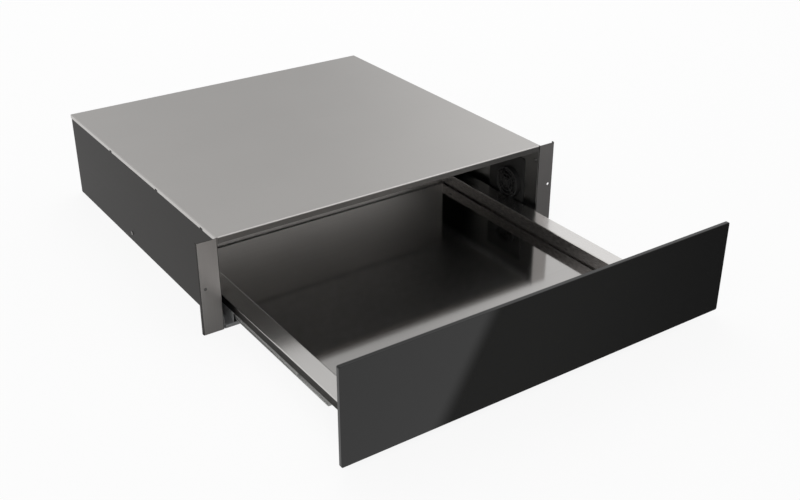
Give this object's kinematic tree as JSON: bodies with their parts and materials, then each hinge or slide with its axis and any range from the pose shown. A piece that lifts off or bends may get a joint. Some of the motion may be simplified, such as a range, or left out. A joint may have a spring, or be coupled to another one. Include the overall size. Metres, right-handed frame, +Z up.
{
  "type": "built-in warming drawer",
  "caption": "Flat niche-mounted steel cabinet with side flanges, a low drawer on telescopic runners, a polished heated floor and a full-width black glass front.",
  "frame": {"origin": "centre of the cabinet's underside, on the shelf it stands on", "axes": "+X to the right seen from the front, +Y to the rear, +Z up; the drawer opens towards -Y"},
  "size_m": [0.596, 0.878, 0.1395],
  "materials": {
    "cover_steel": "fine brushed stainless, satin",
    "side_steel": "fine brushed stainless, satin",
    "zinc_steel": "plain zinc-coated sheet",
    "dark_steel": "dark matt coat",
    "drawer_steel": "fine brushed stainless",
    "polished_steel": "brightly polished stainless with a faint brush",
    "rail_steel": "zinc-coated, rolled",
    "ball_steel": "bright balls in a thin steel cage",
    "screw_steel": "turned heads",
    "black_glass": "opaque black gloss glass with ground edges",
    "black_plastic": "moulded, matt",
    "grey_plastic": "moulded, matt",
    "mineral_mat": "pressed mineral fibre",
    "silicone": "silicone sheet",
    "buffer_rubber": "soft rubber",
    "amber_lens": "clear amber"
  },
  "bodies": {
    "cabinet": {"base_pan": "side_steel", "side_panel_left": "side_steel", "side_panel_right": "side_steel", "rear_panel": "zinc_steel", "top_cover": "cover_steel", "ceiling_shield": "zinc_steel", "ceiling_insulation": "mineral_mat", "cabinet_screws": "screw_steel", "cable_gland": "black_plastic", "terminal_block": "grey_plastic", "latch_housing": "black_plastic", "fan_bracket": "dark_steel", "fan_frame": "black_plastic", "fan_guard": "dark_steel", "cabinet_rail_left": "rail_steel", "cabinet_rail_right": "rail_steel", "rail_brackets_left": "zinc_steel", "rail_brackets_right": "zinc_steel"},
    "drawer": {"drawer_pan": "zinc_steel", "drawer_side_left": "drawer_steel", "drawer_side_right": "drawer_steel", "drawer_rear_wall": "drawer_steel", "floor_plate": "polished_steel", "floor_insulation": "mineral_mat", "heating_mat": "silicone", "thermal_cutout": "grey_plastic", "drawer_rivets": "screw_steel", "glass_front": "black_glass", "adhesive_strips": "silicone", "front_carrier": "dark_steel", "backing_plate": "drawer_steel", "closing_bumpers": "buffer_rubber", "control_ledge": "drawer_steel", "thermostat": "grey_plastic", "switch_frame": "black_plastic", "pilot_lamp": "amber_lens", "drawer_rail_left": "rail_steel", "drawer_rail_right": "rail_steel", "rail_spacers_left": "zinc_steel", "rail_spacers_right": "zinc_steel", "latch_striker": "zinc_steel"},
    "middle_rail_left": {"middle_rail_left": "rail_steel"},
    "outer_ball_cage_left": {"outer_ball_cage_left": "ball_steel"},
    "inner_ball_cage_left": {"inner_ball_cage_left": "ball_steel"},
    "middle_rail_right": {"middle_rail_right": "rail_steel"},
    "outer_ball_cage_right": {"outer_ball_cage_right": "ball_steel"},
    "inner_ball_cage_right": {"inner_ball_cage_right": "ball_steel"},
    "fan_rotor": {"fan_rotor": "black_plastic"},
    "control_knob": {"control_knob": "black_plastic"},
    "rocker": {"rocker": "black_plastic"},
    "latch_plunger": {"latch_plunger": "grey_plastic"}
  },
  "joints": [
    {"name": "drawer_slide", "type": "slide", "parent": "cabinet", "child": "drawer", "axis": [0, -1, 0], "range_m": [-0.321, 0.08]},
    {"name": "middle_rail_left_slide", "type": "slide", "parent": "cabinet", "child": "middle_rail_left", "axis": [0, -1, 0], "range_m": [-0.1605, 0.04]},
    {"name": "outer_ball_cage_left_slide", "type": "slide", "parent": "cabinet", "child": "outer_ball_cage_left", "axis": [0, -1, 0], "range_m": [-0.24075, 0.06]},
    {"name": "inner_ball_cage_left_slide", "type": "slide", "parent": "cabinet", "child": "inner_ball_cage_left", "axis": [0, -1, 0], "range_m": [-0.08025, 0.02]},
    {"name": "middle_rail_right_slide", "type": "slide", "parent": "cabinet", "child": "middle_rail_right", "axis": [0, -1, 0], "range_m": [-0.1605, 0.04]},
    {"name": "outer_ball_cage_right_slide", "type": "slide", "parent": "cabinet", "child": "outer_ball_cage_right", "axis": [0, -1, 0], "range_m": [-0.24075, 0.06]},
    {"name": "inner_ball_cage_right_slide", "type": "slide", "parent": "cabinet", "child": "inner_ball_cage_right", "axis": [0, -1, 0], "range_m": [-0.08025, 0.02]},
    {"name": "fan_spin", "type": "hinge", "parent": "cabinet", "child": "fan_rotor", "pos_m": [0.263, -0.2015, 0.056], "axis": [1, 0, 0], "continuous": true},
    {"name": "knob_turn", "type": "hinge", "parent": "drawer", "child": "control_knob", "pos_m": [-0.06, -0.5665, 0.0358], "axis": [0, 0, -1], "range_deg": [0, 270]},
    {"name": "rocker_tilt", "type": "hinge", "parent": "drawer", "child": "rocker", "pos_m": [0, -0.5665, 0.035], "axis": [0, 1, 0], "range_deg": [-16, 0]},
    {"name": "latch_push", "type": "slide", "parent": "cabinet", "child": "latch_plunger", "axis": [0, 1, 0], "range_m": [0, 0.006], "stiffness_N_per_m": 300, "springref_m": -0.004}
  ],
  "couplings": [
    {"joint": "middle_rail_left_slide", "follows": "drawer_slide", "ratio": 0.5},
    {"joint": "outer_ball_cage_left_slide", "follows": "drawer_slide", "ratio": 0.75},
    {"joint": "inner_ball_cage_left_slide", "follows": "drawer_slide", "ratio": 0.25},
    {"joint": "middle_rail_right_slide", "follows": "drawer_slide", "ratio": 0.5},
    {"joint": "outer_ball_cage_right_slide", "follows": "drawer_slide", "ratio": 0.75},
    {"joint": "inner_ball_cage_right_slide", "follows": "drawer_slide", "ratio": 0.25}
  ]
}
